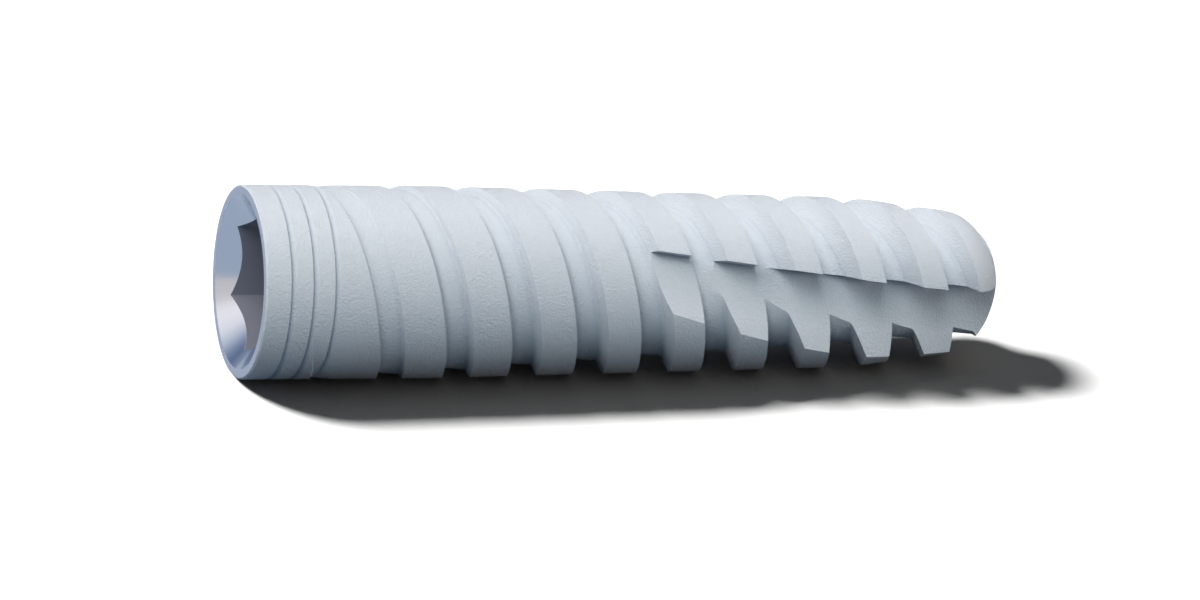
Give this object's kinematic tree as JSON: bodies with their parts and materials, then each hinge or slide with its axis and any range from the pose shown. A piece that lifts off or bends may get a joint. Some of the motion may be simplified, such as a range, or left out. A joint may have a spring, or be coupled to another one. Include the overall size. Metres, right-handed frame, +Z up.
{
  "type": "dental implant",
  "caption": "Tapered internal-hex dental implant fixture with a double-start bone thread, helical cutting flutes and a rounded apex, lying on its side.",
  "frame": {"origin": "on the surface it lies on, below the middle of the fixture", "axes": "+Z up, +X along the fixture from the platform to the apex, -Y toward the viewer"},
  "size_m": [0.0158, 0.0038, 0.0038],
  "materials": {
    "titanium": "grit blasted, satin"
  },
  "bodies": {
    "root": {"implant_fixture": "titanium"}
  },
  "joints": []
}
